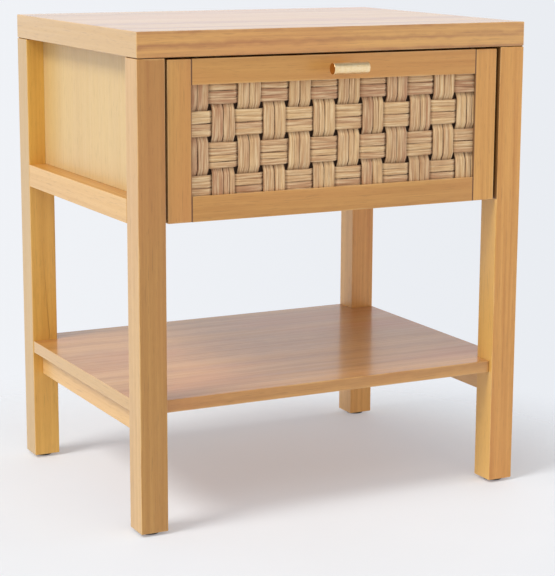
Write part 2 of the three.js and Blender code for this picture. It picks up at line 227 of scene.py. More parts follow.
def add_world():
    """Pale all round. The camera sees an even backdrop in place of the light's own pattern."""
    world = bpy.data.worlds.new("studio")
    world.use_nodes = True
    bpy.context.scene.world = world
    tree = Tree(world.node_tree)
    direction = tree.node("TexCoord", out="Generated")
    at = tree.parts(direction)
    upper = tree.span(at["Z"], 0.45, 0.9, UPPER_GLOW, OVERHEAD_GLOW)
    below = tree.span(at["Z"], -0.02, -0.08, 0.0, GLOW_BELOW)
    glow = tree.math("MAXIMUM", tree.math("ADD", wall_glow(tree, direction), upper), below)
    lit = tree.node("Background", {"Color": LIT_COLOR, "Strength": glow})
    across = tree.span(at["X"], 0.25, 0.6)
    seen = tree.node("Background", {"Color": tree.mix(across, BACKDROP_LEFT, BACKDROP_RIGHT)})
    camera_ray = tree.node("LightPath", out="Is Camera Ray")
    tree.node("OutputWorld", {"Surface": tree.node("MixShader", {0: camera_ray, 1: lit, 2: seen})})


def floor_material():
    """Pale paper that glows faintly, fades out with distance and can be seen through from below."""
    material, tree = new_material("floor")
    place = tree.node("NewGeometry", out="Position")
    inputs = {0: tree.vector("SUBTRACT", place, FLOOR_CENTRE)}
    reach = tree.node("VectorMath", inputs, out="Value", operation="LENGTH")
    mottle = tree.noise(place, (3, 3, 3), detail=3)
    paper = tree.principled({
        "Base Color": tree.mix(tree.span(mottle, 0.3, 0.7), *FLOOR_TINTS),
        "Roughness": 0.7, "Specular IOR Level": 0.2,
        "Emission Color": FLOOR_GLOW, "Emission Strength": FLOOR_GLOW_STRENGTH,
    })
    underside = tree.node("NewGeometry", out="Backfacing")
    clear_share = tree.math("MAXIMUM", tree.span(reach, *FLOOR_FADE), underside)
    clear = tree.node("BsdfTransparent")
    tree.surface(tree.node("MixShader", {0: clear_share, 1: paper, 2: clear}))
    return material


def add_floor():
    points = [(0, 0, 0)]
    for i in range(FLOOR_SIDES):
        turn = 2 * math.pi * i / FLOOR_SIDES
        points.append((FLOOR_RADIUS * math.cos(turn), FLOOR_RADIUS * math.sin(turn), 0))
    faces = [(0, i + 1, (i + 1) % FLOOR_SIDES + 1) for i in range(FLOOR_SIDES)]
    mesh = new_mesh("floor", points, faces, smooth=False)
    mesh.materials.append(floor_material())
    link(bpy.data.objects.new("floor", mesh))


# ---------------------------------------------------------------- wood
GRAIN_ORDER = {"x": "XYZ", "y": "YZX", "z": "ZXY"}

PAINTED_LIT_SIDE = rgb(238, 208, 150)      # painted light: faces that look along X are painted paler, as the key light from the left lights them
# wear and painted highlight: the edges' lighter colour is partly wear and partly a painted highlight line
WORN_EDGE_HIGHLIGHT = rgb(234, 194, 130)
# painted shade: the dark brown of the shade in the joints between boards and behind the drawer's front
PAINTED_SHADE_BROWN = rgb(92, 52, 24)
OUTER_LIT_SHARE, PORE_SHARE, END_GRAIN_SHARE, WEAR_HIGHLIGHT_SHARE, PAINTED_SHADE_SHARE = 0.7, 0.28, 0.35, 0.40, 0.85
HONEY = {"light": rgb(212, 156, 78), "dark": rgb(182, 121, 50), "blush": rgb(206, 136, 70)}
PALE = {"light": rgb(220, 182, 108), "dark": rgb(195, 148, 78), "blush": rgb(207, 152, 88)}
SLAB = {"light": rgb(215, 159, 80), "dark": rgb(164, 104, 46), "blush": rgb(198, 124, 62)}
SHELF = {"light": rgb(206, 152, 84), "dark": rgb(166, 112, 54), "blush": rgb(188, 118, 64)}
# painted light: the back left leg's wood, brighter and yellower as bounce light from the side panel makes
# it
BOUNCE_LIT_GOLD = {"light": rgb(236, 188, 90), "dark": rgb(210, 154, 62), "blush": rgb(226, 166, 76)}
INNER = {"light": rgb(221, 189, 142), "dark": rgb(196, 158, 110), "blush": rgb(212, 168, 126)}


WEAR_HIGHLIGHT_REACH = (0.5, 2.6)                 # mm in from an edge, how far the wear and painted highlight reach
WANDER = 10 * MM
PITH_ACROSS, PITH_DEPTH = (0.03, 0.09), (0.08, 0.2)    # how far the tree's middle is from the board
LEAN = (0.6, 1.6)                   # degrees between the board and the tree
RINGS = {"Scale": 19.0, "Distortion": 2.0, "Detail": 3.0, "Detail Scale": 2.0}


def toned(colors, gain):
    """The same wood, a little lighter or darker."""
    def gained(color):
        return tuple(min(1.0, value * gain) for value in color[:3]) + (1.0,)
    return {key: gained(color) for key, color in colors.items()}


def grain_space(tree, grain):
    """The place in the board, with its length first."""
    at = tree.parts(tree.place())
    along, across, through = (at[axis] for axis in GRAIN_ORDER[grain])
    return tree.node("CombineXYZ", {0: along, 1: across, 2: through})


def facing(tree, axis):
    """1 on the faces that look along an axis, either way."""
    at = tree.parts(tree.node("TexCoord", out="Normal"))
    return tree.math("GREATER_THAN", tree.math("ABSOLUTE", at[axis.upper()]), 0.7)


def from_middle(tree):
    """The distance from the nightstand's middle, to the left or the right."""
    return tree.math("ABSOLUTE", tree.parts(tree.place())["X"])


def side_face(tree, node, inner):
    """1 on a leg's inner face, or on its outer one."""
    low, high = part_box(node)
    middle = (abs(low.x) + abs(high.x)) / 2
    chosen = tree.math("LESS_THAN" if inner else "GREATER_THAN", from_middle(tree), middle)
    return tree.math("MULTIPLY", facing(tree, "x"), chosen)


def above_level(tree, level):
    return tree.span(tree.parts(tree.place())["Z"], level - 1 * MM, level + 1 * MM)


def joint_shade_line(tree, at):
    """1 along the joints this far from the middle, where painted shade darkens the line between two boards.
    """
    away = tree.math("ABSOLUTE", tree.math("SUBTRACT", from_middle(tree), at))
    return tree.span(away, 0.5 * MM, 1.5 * MM, 1.0, 0.0)


def edge_wear_and_highlight(tree, node, place):
    """1 along a board's edges and 0 away from them, unevenly: where the edges are worn and where a painted
    highlight lies along them.
    """
    low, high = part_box(node)
    share = tree.parts(tree.node("TexCoord", out="Generated"))
    depths = []
    for axis, size in zip("XYZ", high - low):
        nearest = tree.math("MINIMUM", share[axis], tree.math("SUBTRACT", 1.0, share[axis]))
        depths.append(tree.math("MULTIPLY", nearest, size / MM))
    x, y, z = depths
    lesser = tree.math("MINIMUM", x, y)
    greater = tree.math("MAXIMUM", x, y)
    to_edge = tree.math("MINIMUM", greater, tree.math("MAXIMUM", lesser, z))
    highlight_reach = tree.span(tree.noise(place, (16, 60, 60), detail=3), 0.35, 0.7, *WEAR_HIGHLIGHT_REACH)
    return tree.math("SUBTRACT", 1.0, tree.math("DIVIDE", to_edge, highlight_reach), clamp=True)


def place_in_tree(tree, grain, edge_grain, draw):
    """Where in the tree the board is cut, and the random shift that takes it there."""
    place = grain_space(tree, grain)
    if edge_grain:
        place = tree.mix_vector(facing(tree, "x"), place, grain_space(tree, edge_grain))
    shift = tuple(draw.uniform(-3, 3) for _ in range(3))
    return tree.vector("ADD", place, shift), shift


def bend_grain(tree, place):
    """The grain wanders by a few millimetres along the board."""
    wander = tree.noise(place, (1.1, 6, 6), detail=2)
    wander = tree.math("MULTIPLY", tree.math("SUBTRACT", wander, 0.5), WANDER)
    return tree.vector("ADD", place, tree.node("CombineXYZ", {1: wander, 2: wander}))


def late_wood(tree, bent, shift, draw):
    """1 in the late wood of the growth rings, which lie round a pith outside the board."""
    pith = (shift[0], shift[1] + draw.uniform(*PITH_ACROSS), shift[2] - draw.uniform(*PITH_DEPTH))
    lean = math.radians(draw.uniform(*LEAN))
    inputs = {"Vector": tree.vector("SUBTRACT", bent, pith), "Angle": lean}
    leaning = tree.node("VectorRotate", inputs, rotation_type="Z_AXIS")
    growth = tree.node("TexWave", {"Vector": leaning, **RINGS}, out="Fac",
                       wave_type="RINGS", rings_direction="X")
    return tree.math("POWER", growth, 2.2)


def grain_layers(tree, bent):
    """The board's marks, from broad bands to pores."""
    return {
        "streak": tree.noise(bent, (3.2, 210, 210), detail=4, roughness=0.62),
        "band": tree.noise(bent, (0.7, 24, 24), detail=3),
        "fibre": tree.noise(bent, (14, 1100, 1100), detail=2),
        "fleck": tree.span(tree.noise(bent, (26, 520, 520), detail=1), 0.64, 0.76),
        "pore": tree.span(tree.noise(bent, (60, 1500, 1500), detail=1), 0.62, 0.72),
    }


def wood_tone(tree, late, layers, shares):
    """How dark the wood is, from 0 to 1. shares says how much each layer counts."""
    tone = tree.math("MULTIPLY", tree.math("SUBTRACT", late, 0.4), shares["rings"])
    for layer in ("streak", "band", "fibre"):
        part = tree.math("MULTIPLY", tree.math("SUBTRACT", layers[layer], 0.5), shares[layer])
        tone = tree.math("ADD", tone, part)
    return tree.math("ADD", tone, 0.45, clamp=True)


def wood(name, grain, seed, light, dark, blush, rings=0.18, bands=1.5, streaks=1.5, cloudy=0.5,
         edge_grain=None, lit_side_color=PAINTED_LIT_SIDE, side_share=0.4, outer_lit_color=None,
         roughness=0.42, coat=0.35, polish=0.26, joint=None, bare_above=None):
    """Lacquered wood cut from its own place in the tree.

    edge_grain is the grain of the faces that look along X, which take a share of a paler colour as
    painted light; a leg's outer face can take its own painted lit-side colour. joint is how far the
    board's joints are from the middle, where painted shade darkens them. Above the level given last,
    a leg's inner face is painted dark brown as shade, as it lies behind the drawer's front.
    """
    material, tree = new_material(name)
    draw = random.Random(seed)
    place, shift = place_in_tree(tree, grain, edge_grain, draw)
    bent = bend_grain(tree, place)
    layers = grain_layers(tree, bent)
    shares = {"rings": rings, "streak": streaks, "band": bands, "fibre": 0.4}
    tone = wood_tone(tree, late_wood(tree, bent, shift, draw), layers, shares)
    cloud = tree.noise(place, (2.2, 6, 6), detail=2)
    wear_and_highlight = edge_wear_and_highlight(tree, name, place)
    pores = tree.math("MAXIMUM", layers["pore"], layers["fleck"])
    pore_color = tuple(0.5 * value for value in dark[:3]) + (1.0,)

    color = tree.mix(tone, light, dark)
    color = tree.mix(tree.span(cloud, 0.42, 0.72, 0.0, cloudy), color, blush)
    # painted light: the faces that look along X take a share of the paler lit-side colour
    color = tree.stain(color, facing(tree, "x"), side_share, lit_side_color)
    # painted light: a leg's outer face takes its own painted lit-side colour in place of the inner face's
    if outer_lit_color:
        color = tree.stain(color, side_face(tree, name, inner=False), OUTER_LIT_SHARE, outer_lit_color)
    color = tree.stain(color, pores, PORE_SHARE, pore_color)
    color = tree.stain(color, facing(tree, grain), END_GRAIN_SHARE, pore_color)
    # lighter edges: partly wear, partly a painted highlight
    color = tree.stain(color, wear_and_highlight, WEAR_HIGHLIGHT_SHARE, WORN_EDGE_HIGHLIGHT)
    if joint:
        # painted shade along the joints between boards
        color = tree.stain(color, joint_shade_line(tree, joint), PAINTED_SHADE_SHARE, PAINTED_SHADE_BROWN)
    # painted shade: above the drawer's bottom a leg's inner face is painted dark brown, as the shade behind
    # the drawer's front
    if bare_above:
        inner = side_face(tree, name, inner=True)
        bare = tree.math("MULTIPLY", inner, above_level(tree, bare_above))
        color = tree.stain(color, bare, PAINTED_SHADE_SHARE, PAINTED_SHADE_BROWN)

    gloss = tree.span(layers["streak"], 0.3, 0.7, roughness - 0.05, roughness + 0.07)
    gloss = tree.math("ADD", gloss, tree.math("MULTIPLY", wear_and_highlight, 0.08))
    relief = tree.math("SUBTRACT", tree.math("ADD", layers["fibre"], layers["streak"]), layers["pore"])
    tree.surface(tree.principled({
        "Base Color": color, "Roughness": gloss, "IOR": 1.5,
        "Coat Weight": coat, "Coat Roughness": polish, "Coat IOR": 1.5,
        "Normal": tree.bump(relief, 0.16, 0.25 * MM),
    }))
    return material


def dark_board():
    """Dark board behind the weave, and on the pads under the slab, where the dark is painted shade."""
    material, tree = new_material("dark_board")
    fibres = tree.noise(grain_space(tree, "x"), (20, 500, 500), detail=3)
    color = tree.mix(fibres, (0.060, 0.030, 0.016, 1), (0.100, 0.052, 0.028, 1))
    bump = tree.bump(fibres, 0.2, 0.2 * MM)
    tree.surface(tree.principled({"Base Color": color, "Roughness": 0.85, "Normal": bump}))
    return material


# ---------------------------------------------------------------- carried-over boards
BOARD_EDGE, HEAVY_EDGE, THIN_EDGE, METAL_EDGE = 1.0 * MM, 1.2 * MM, 0.4 * MM, 0.35 * MM
RAW = {"coat": 0.2, "roughness": 0.5}     # the inner boards' thin, dull finish


def smooth_shading():
    """Geometry nodes that drop a board's stored normals and shade it smooth."""
    group = bpy.data.node_groups.new("smooth_shading", "GeometryNodeTree")
    group.interface.new_socket("Geometry", in_out="INPUT", socket_type="NodeSocketGeometry")
    group.interface.new_socket("Geometry", in_out="OUTPUT", socket_type="NodeSocketGeometry")
    steps = [group.nodes.new("NodeGroupInput")]
    strip = group.nodes.new("GeometryNodeRemoveAttribute")
    strip.inputs["Name"].default_value = "custom_normal"
    steps.append(strip)
    for domain in ("FACE", "EDGE"):
        shade = group.nodes.new("GeometryNodeSetShadeSmooth")
        shade.domain = domain
        steps.append(shade)
    steps.append(group.nodes.new("NodeGroupOutput"))
    for before, after in zip(steps, steps[1:]):
        group.links.new(before.outputs[0], after.inputs[0])
    return group


SMOOTH = smooth_shading()


def flatten_faces(obj):
    """Keeps broad faces flat beside the small roundings at their edges."""
    normals = obj.modifiers.new("flat_faces", "WEIGHTED_NORMAL")
    normals.weight = 100
    normals.keep_sharp = False


def ease_edges(node, radius):
    """Rounds a board's edges a little, as sanding does, without touching its mesh."""
    obj = NODES[node]
    weld = obj.modifiers.new("weld", "WELD")
    weld.merge_threshold = 0.01 * MM
    smooth = obj.modifiers.new("smooth", "NODES")
    smooth.node_group = SMOOTH
    bevel = obj.modifiers.new("eased_edges", "BEVEL")
    bevel.width = radius
    bevel.segments = 3
    bevel.limit_method = "ANGLE"
    bevel.angle_limit = math.radians(35)
    flatten_faces(obj)


def paint(node, material):
    for slot in NODES[node].material_slots:
        slot.material = material


def finish_board(node, grain, colors, seed, radius=BOARD_EDGE, **options):
    ease_edges(node, radius)
    paint(node, wood(node, grain, seed, **colors, **options))


# Painted light and shade on the legs: the front right leg is a lighter and the front left leg a darker copy
# of one wood, for the light that brightens the front towards the right. The back left leg's bright yellow
# wood and the front right leg's golden inner face are painted bounce light.
LEG_LOOKS = {
    ("front", "left"): {"colors": toned(HONEY, 0.78), "lit_side_color": rgb(228, 199, 148)},
    ("front", "right"): {
        "colors": toned(HONEY, 1.14), "lit_side_color": rgb(222, 179, 97), "side_share": 0.75,
        "outer_lit_color": rgb(216, 180, 124),
    },
    ("back", "left"): {"colors": BOUNCE_LIT_GOLD, "lit_side_color": rgb(188, 158, 113), "side_share": 0.85},
    ("back", "right"): {"colors": toned(HONEY, 1.12), "side_share": 0.3},
}
# The top's and the shelf's faces that look along X take painted lit-side colours.
TOP_LOOK = {
    "edge_grain": "y", "rings": 0.5, "bands": 1.0, "cloudy": 0.6,
    "lit_side_color": rgb(234, 191, 114), "side_share": 0.85, "coat": 1.0, "polish": 0.22,
}
SHELF_LOOK = {
    "edge_grain": "y", "rings": 0.3, "bands": 0.8, "streaks": 0.7, "cloudy": 0.9,
    "lit_side_color": rgb(240, 202, 136), "side_share": 0.75, "coat": 0.52, "polish": 0.15,
}
SIDE_PANEL_LOOK = {"rings": 0.10, "bands": 1.2, "streaks": 0.6}


def finish_case():
    finish_board("top_panel", "x", SLAB, 11, HEAVY_EDGE, **TOP_LOOK)
    finish_board("shelf", "x", SHELF, 12, **SHELF_LOOK)
    finish_board("back_panel", "z", PALE, 13, rings=0.3)
    drawer_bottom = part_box("drawer_bottom_rail")[0].z
    for i, side in enumerate(SIDES):
        finish_board(f"{side}_side_panel", "z", toned(PALE, 0.75), 20 + i, **SIDE_PANEL_LOOK)
        finish_board(f"{side}_side_rail", "y", toned(HONEY, 0.92), 22 + i, side_share=0.35)
        finish_board(f"{side}_shelf_rail", "y", HONEY, 24 + i)
        for j, end in enumerate(ENDS):
            # the front legs take painted shade on their inner faces above the drawer's bottom
            finish_board(f"{end}_{side}_leg", "z", seed=30 + 2 * i + j, radius=HEAVY_EDGE,
                         bare_above=drawer_bottom if end == "front" else None, **LEG_LOOKS[end, side])
    for i, node in enumerate(("front_top_rail", "back_top_cleat")):
        finish_board(node, "x", INNER, 40 + i, **RAW)


def finish_drawer():
    # painted shade: the stiles and rails take a dark line along their joints
    joint = min(abs(corner.x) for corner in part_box("drawer_right_stile"))
    # painted light: the right stile is a lighter and the left stile a darker copy of one wood, for the
    # light that brightens the front towards the right
    for i, (side, gain) in enumerate((("left", 0.94), ("right", 1.08))):
        finish_board(f"drawer_{side}_stile", "z", toned(HONEY, gain), 50 + i, joint=joint)
        finish_board(f"drawer_{side}_side", "y", INNER, 54 + i, **RAW)
    for i, (end, gain) in enumerate((("top", 0.95), ("bottom", 0.92))):
        finish_board(f"drawer_{end}_rail", "x", toned(HONEY, gain), 52 + i, joint=joint)
    for i, node in enumerate(("drawer_box_front", "drawer_back")):
        finish_board(node, "x", INNER, 56 + i, **RAW)
    finish_board("drawer_bottom", "x", INNER, 58, THIN_EDGE, **RAW)
    paint("weave_backing", dark_board())


# ---------------------------------------------------------------- metal and nylon
SCRATCHES = (40, 900, 900)                # per metre, longest along X
STAINS = (240, 420, 420)
BRASS = {"color": rgb(246, 222, 180), "shade": rgb(236, 206, 152), "roughness": 0.40}
# painted reflection: a darker brass for the bar's end faces, standing in for a darker reflection there
PAINTED_END_SHADE = rgb(196, 140, 66)
ZINC = {"color": (0.36, 0.37, 0.38, 1), "shade": (0.31, 0.32, 0.335, 1), "roughness": 0.36}
BRIGHT = {"color": (0.56, 0.57, 0.58, 1), "shade": (0.47, 0.48, 0.50, 1), "roughness": 0.28}
NYLON, SCUFFED_NYLON = (0.012, 0.011, 0.010, 1), (0.045, 0.042, 0.038, 1)


def metal(name, color, shade, roughness, ends=None):
    """A metal with fine marks. shade is the colour of its faint stains, and ends is a darker colour painted
    on the faces that look along X, as a painted darker reflection.
    """
    material, tree = new_material(name)
    place = tree.place()
    marks = tree.noise(place, SCRATCHES, detail=3)
    stains = tree.noise(place, STAINS, detail=4)
    tint = tree.mix(tree.span(stains, 0.35, 0.75), color, shade)
    if ends:
        # painted reflection: the faces that look along X take the darker end colour
        tint = tree.mix(facing(tree, "x"), tint, ends)
    gloss = tree.span(marks, 0.3, 0.7, roughness * 0.8, roughness * 1.25)
    bump = tree.bump(marks, 0.08, 0.05 * MM)
    tree.surface(tree.principled({
        "Base Color": tint, "Metallic": 1.0, "Roughness": gloss, "Normal": bump,
    }))
    return material


def nylon():
    material, tree = new_material("glide_nylon")
    place = tree.place()
    grain = tree.noise(place, (900, 900, 900), detail=2)
    scuffs = tree.noise(place, (120, 120, 400), detail=3)
    color = tree.mix(tree.span(scuffs, 0.55, 0.75), NYLON, SCUFFED_NYLON)
    bump = tree.bump(grain, 0.15, 0.1 * MM)
    tree.surface(tree.principled({"Base Color": color, "Roughness": 0.5, "Normal": bump}))
    return material


# ---------------------------------------------------------------- new pieces
def add_piece(name, mesh, material, body, stands_for=()):
    mesh.materials.append(material)
    obj = link(bpy.data.objects.new(name, mesh))
    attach(obj, body)
    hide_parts(*stands_for)
    return obj


def turned(name, profile, start, direction, sides=64, carve=None):
    """A mesh turned about a line. profile holds (distance along the line, radius), from axis to axis.

    carve moves a point, given in the line's own space with Z along it.
    """
    turn = Vector((0, 0, 1)).rotation_difference(Vector(direction)).to_matrix()
    points, rings, faces = [], [], []
    for along, radius in profile:
        count = sides if radius else 1
        rings.append(range(len(points), len(points) + count))
        for i in range(count):
            angle = 2 * math.pi * i / sides
            local = Vector((radius * math.cos(angle), radius * math.sin(angle), along))
            if carve:
                carve(local)
            points.append(Vector(start) + turn @ local)
    for low, high in zip(rings, rings[1:]):
        for i in range(sides):
            j = (i + 1) % sides
            quad = (low[i % len(low)], low[j % len(low)], high[j % len(high)], high[i % len(high)])
            faces.append(tuple(dict.fromkeys(quad)))
    return new_mesh(name, points, faces)


def rounded_rim(radius, at, rim, towards, steps=5):
    """Profile points round a rim: towards is 1 where the turned piece begins and -1 where it ends."""
    points = []
    for i in range(steps + 1):
        angle = math.pi / 2 * i / steps
        along = at + towards * rim * (1 - math.sin(angle))
        points.append((along, radius - rim * (1 - math.cos(angle))))
    return points[::-1] if towards > 0 else points


# ---------------------------------------------------------------- woven front
UPRIGHTS, BANDS = 12, 4
STRAND = 3.6 * MM
CORDS = 4                           # side by side in each bundle, as two pairs
CORD_TOP, CORD_UNDER = 15, 7        # points across a cord's face and back
CORD_STEP = 1.4 * MM
PAIR_GAP = 0.10 * MM
ROUNDNESS = 2.1                     # 2 is a round edge, more is squarer
GROOVE_WIDTH = 0.16                 # as a share of half a cord's width
SWAY = (0.42 * MM, 26, 0)           # these vary along a cord: amount, changes per metre, noise offset
LOW_EDGE, HIGH_EDGE = (0.32 * MM, 48, 5), (0.32 * MM, 48, 7)
THICKNESS = (0.09, 55, 9)
GROOVE_PLACE, GROOVE_DEPTH = (0.15, 50, 20), (0.6, 30, 30)
TONE = (0.22, 22, 50)
UPRIGHT_SPREAD, BAND_SPREAD = 0.4 * MM, 0.6 * MM      # how far a bundle bulges past its CAD box
UPRIGHT_PRESS, BAND_PRESS = 0.8 * MM, 1.0 * MM        # how far a pair's cords press together
UPRIGHT_EASE, BAND_EASE = 1.2 * MM, 1.0 * MM          # where a strand starts to dive, inside a crossing

STRAW, RUSSET = rgb(216, 177, 126), rgb(185, 137, 100)
PALE_STRAND, DARK_STRAND = rgb(242, 216, 170), rgb(164, 114, 76)
# the brown after the dark fibres' colour is painted shade for the seams between cords
DARK_FIBRE, SEAM_SHADE_BROWN = rgb(150, 100, 62), rgb(118, 74, 42)


def cord_material():
    """Dry plant-fibre cord. Its tone comes from each cord's own attribute; its fibres follow the cord, and
    painted shade darkens the seams between cords.
    """
    material, tree = new_material("plant_cord")
    tone = tree.node("Attribute", out="Fac", attribute_name="tone")
    seam_shade = tree.node("Attribute", out="Fac", attribute_name="seam_shade")
    along = tree.node("UVMap", uv_map="along_cord")
    fibres = tree.noise(along, (60, 1500, 1), detail=3, roughness=0.6)
    strands = tree.noise(along, (22, 520, 1), detail=3)
    twist = tree.noise(along, (420, 260, 1), detail=2)
    color = tree.mix(tone, STRAW, RUSSET)
    color = tree.mix(tree.span(strands, 0.42, 0.68, 0.0, 0.65), color, PALE_STRAND)
    color = tree.mix(tree.span(strands, 0.46, 0.30, 0.0, 0.55), color, DARK_STRAND)
    color = tree.mix(tree.span(fibres, 0.45, 0.8, 0.0, 0.50), color, DARK_FIBRE)
    # painted shade: darker brown down in the seams between cords
    color = tree.mix(tree.span(seam_shade, 0.2, 1.0, 0.0, 0.75), color, SEAM_SHADE_BROWN)
    relief = tree.math("ADD", tree.math("ADD", fibres, strands), tree.math("MULTIPLY", twist, 0.6))
    tree.surface(tree.principled({
        "Base Color": color, "Roughness": 0.72, "Specular IOR Level": 0.35,
        "Sheen Weight": 0.15, "Sheen Roughness": 0.5, "Normal": tree.bump(relief, 0.8, 0.4 * MM),
    }))
    return material


def over_under(at, crossings, flat, first):
    """1 where the strand lies in front, -1 where it lies behind, eased between the crossings."""
    sign = first
    for centre, following in zip(crossings, crossings[1:]):
        leave, arrive = centre + flat, following - flat
        if at <= leave:
            return sign
        if at < arrive:
            share = (at - leave) / (arrive - leave)
            return sign * math.cos(math.pi * share)
        sign = -sign
    return sign


def wobble(at, rate, seed):
    """Smooth noise from about -1 to 1 along a cord."""
    return 1.6 * noise.noise(Vector((at * rate, seed, 0.37 * seed)))


class Cord:
    """One of the cords that lie side by side in a bundle. edges are its sides, across the bundle."""

    def __init__(self, seed, edges, tone):
        draw = random.Random(seed)
        self.seed = seed * 1.731
        self.edges = edges
        self.tone = tone + draw.uniform(-0.28, 0.28)
        self.thickness = draw.uniform(0.92, 1.06)
        self.groove_at = draw.uniform(-0.4, 0.4)
        self.groove_depth = draw.uniform(0.05, 0.45) * MM

    def vary(self, at, kind):
        amount, rate, offset = kind
        return amount * wobble(at, rate, self.seed + offset)

    def section(self, at):
        """Points round the cord, as (across, out of the bundle, how far down its side for the painted seam
        shade).
        """
        sway = self.vary(at, SWAY)
        low = self.edges[0] + sway + self.vary(at, LOW_EDGE)
        high = self.edges[1] + sway + self.vary(at, HIGH_EDGE)
        middle, half = (low + high) / 2, (high - low) / 2
        thick = STRAND / 2 * self.thickness * (1 + self.vary(at, THICKNESS))
        line = self.groove_at + self.vary(at, GROOVE_PLACE)
        depth = self.groove_depth * (1 + self.vary(at, GROOVE_DEPTH))
        points = []
        for k in range(CORD_TOP):
            u = -math.cos(math.pi * k / (CORD_TOP - 1))
            rise = math.sqrt(max(0.0, 1 - abs(u) ** ROUNDNESS))
            dip = depth * math.exp(-(((u - line) / GROOVE_WIDTH) ** 2))
            points.append((middle + half * u, rise * (thick - dip), 1 - rise * (1 - dip / thick)))
        for k in range(CORD_UNDER - 2, 0, -1):
            u = -math.cos(math.pi * k / (CORD_UNDER - 1))
            points.append((middle + half * u, -thick * math.sqrt(1 - abs(u) ** ROUNDNESS), 1.0))
        return points

    def tone_at(self, at):
        return min(1.0, max(0.0, self.tone + self.vary(at, TONE)))


def make_cords(seed, half, press):
    """The cords of a bundle: two pairs, whose cords press into each other by a random share of press."""
    draw = random.Random(1000 + seed)
    width = 2 * half / CORDS
    cords = []
    for pair in range(CORDS // 2):
        tone = draw.uniform(0.15, 0.85)
        overlap = press * draw.uniform(0.3, 1.7)
        outer = -half + 2 * width * pair
        split = outer + width * draw.uniform(0.92, 1.08)
        cords.append(Cord(seed + 10 * pair, (outer + PAIR_GAP, split + overlap / 2), tone))
        far = outer + 2 * width - PAIR_GAP
        cords.append(Cord(seed + 10 * pair + 5, (split - overlap / 2, far), tone))
    return cords


def bundle_mesh(name, cords, ends, place):
    """A mesh of cords. place turns (along, across, out of the bundle) into a point."""
    steps = round((ends[1] - ends[0]) / CORD_STEP)
    points, faces, tones, seam_shades, uvs = [], [], [], [], []
    for cord in cords:
        first = len(points)
        for i in range(steps + 1):
            at = ends[0] + (ends[1] - ends[0]) * i / steps
            ring = cord.section(at)
            count = len(ring)
            for across, out, seam_shade in ring:
                points.append(place(at, across, out))
                seam_shades.append(seam_shade)
                uvs.append((at + cord.seed, across + cord.seed))
            tones += [cord.tone_at(at)] * count
            if i:
                low = first + (i - 1) * count
                for k in range(count):
                    j = (k + 1) % count
                    faces.append((low + k, low + j, low + count + j, low + count + k))
        faces.append(tuple(range(first, first + count))[::-1])
        faces.append(tuple(range(len(points) - count, len(points))))
    mesh = new_mesh(name, points, faces)
    mesh.attributes.new("tone", "FLOAT", "POINT").data.foreach_set("value", tones)
    mesh.attributes.new("seam_shade", "FLOAT", "POINT").data.foreach_set("value", seam_shades)
    layer = mesh.uv_layers.new(name="along_cord")
    for loop in mesh.loops:
        layer.data[loop.index].uv = uvs[loop.vertex_index]
    return mesh


def woven_front():
    """Upright bundles and level bands, each over one and under one."""
    uprights = [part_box(f"woven_upright_{i}") for i in range(1, UPRIGHTS + 1)]
    bands = [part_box(f"woven_band_{i}") for i in range(1, BANDS + 1)]
    columns = [(low.x + high.x) / 2 for low, high in uprights]
    rows = [(low.z + high.z) / 2 for low, high in bands]
    column_half = (uprights[1][1].x - uprights[1][0].x) / 2
    row_half = (bands[1][1].z - bands[1][0].z) / 2
    front, back = uprights[0][0].y, uprights[0][1].y
    middle = (front + back) / 2
    wave = (back - front - STRAND) / 2
    material = cord_material()

    def upright_place(i):
        def place(at, across, out):
            level = over_under(at, rows, row_half - UPRIGHT_EASE, 1 if i % 2 else -1) * wave
            return (columns[i] + across, middle - level - out, at)
        return place

    def band_place(i):
        def place(at, across, out):
            level = over_under(at, columns, column_half - BAND_EASE, -1 if i % 2 else 1) * wave
            return (at, middle - level - out, rows[i] - across)
        return place

    for i, (low, high) in enumerate(uprights):
        name = f"upright_cords_{i + 1}"
        cords = make_cords(100 + 40 * i, column_half + UPRIGHT_SPREAD, UPRIGHT_PRESS)
        mesh = bundle_mesh(name, cords, (low.z, high.z), upright_place(i))
        add_piece(name, mesh, material, "drawer", [f"woven_upright_{i + 1}"])
    for i, (low, high) in enumerate(bands):
        name = f"band_cords_{i + 1}"
        cords = make_cords(900 + 40 * i, row_half + BAND_SPREAD, BAND_PRESS)
        mesh = bundle_mesh(name, cords, (low.x, high.x), band_place(i))
        add_piece(name, mesh, material, "drawer", [f"woven_band_{i + 1}"])


# ---------------------------------------------------------------- pull
BAR_RIM, POST_RIM, POST_BACK_RIM = 0.7 * MM, 0.4 * MM, 0.3 * MM
SCREW_HOLE = 2.3 * MM               # radius
HOLE_CLEARANCE = 1 * MM             # past the screw's tip


def add_bar(brass):
    low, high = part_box("pull_bar")
    radius = (high.z - low.z) / 2
    length = high.x - low.x
    start = (low.x, (low.y + high.y) / 2, (low.z + high.z) / 2)
    ends = (*rounded_rim(radius, 0, BAR_RIM, 1), *rounded_rim(radius, length, BAR_RIM, -1))
    mesh = turned("pull_bar_round", [(0, 0), *ends, (length, 0)], start, (1, 0, 0), 96)
    flatten_faces(add_piece("pull_bar_round", mesh, brass, "drawer", ["pull_bar"]))


def add_post(brass):
    """The pull's post, with the hole that its screw goes up."""
    low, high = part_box("pull_post")
    radius = (high.x - low.x) / 2
    length = high.y - low.y
    bottom = length - (high.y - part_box("pull_screw")[0].y + HOLE_CLEARANCE)
    profile = [
        (0, 0), *rounded_rim(radius, 0, POST_RIM, 1), *rounded_rim(radius, length, POST_BACK_RIM, -1),
        (length, SCREW_HOLE), (bottom, SCREW_HOLE), (bottom, 0),
    ]
    start = ((low.x + high.x) / 2, low.y, (low.z + high.z) / 2)
    mesh = turned("pull_post_round", profile, start, (0, 1, 0))
    flatten_faces(add_piece("pull_post_round", mesh, brass, "drawer", ["pull_post"]))


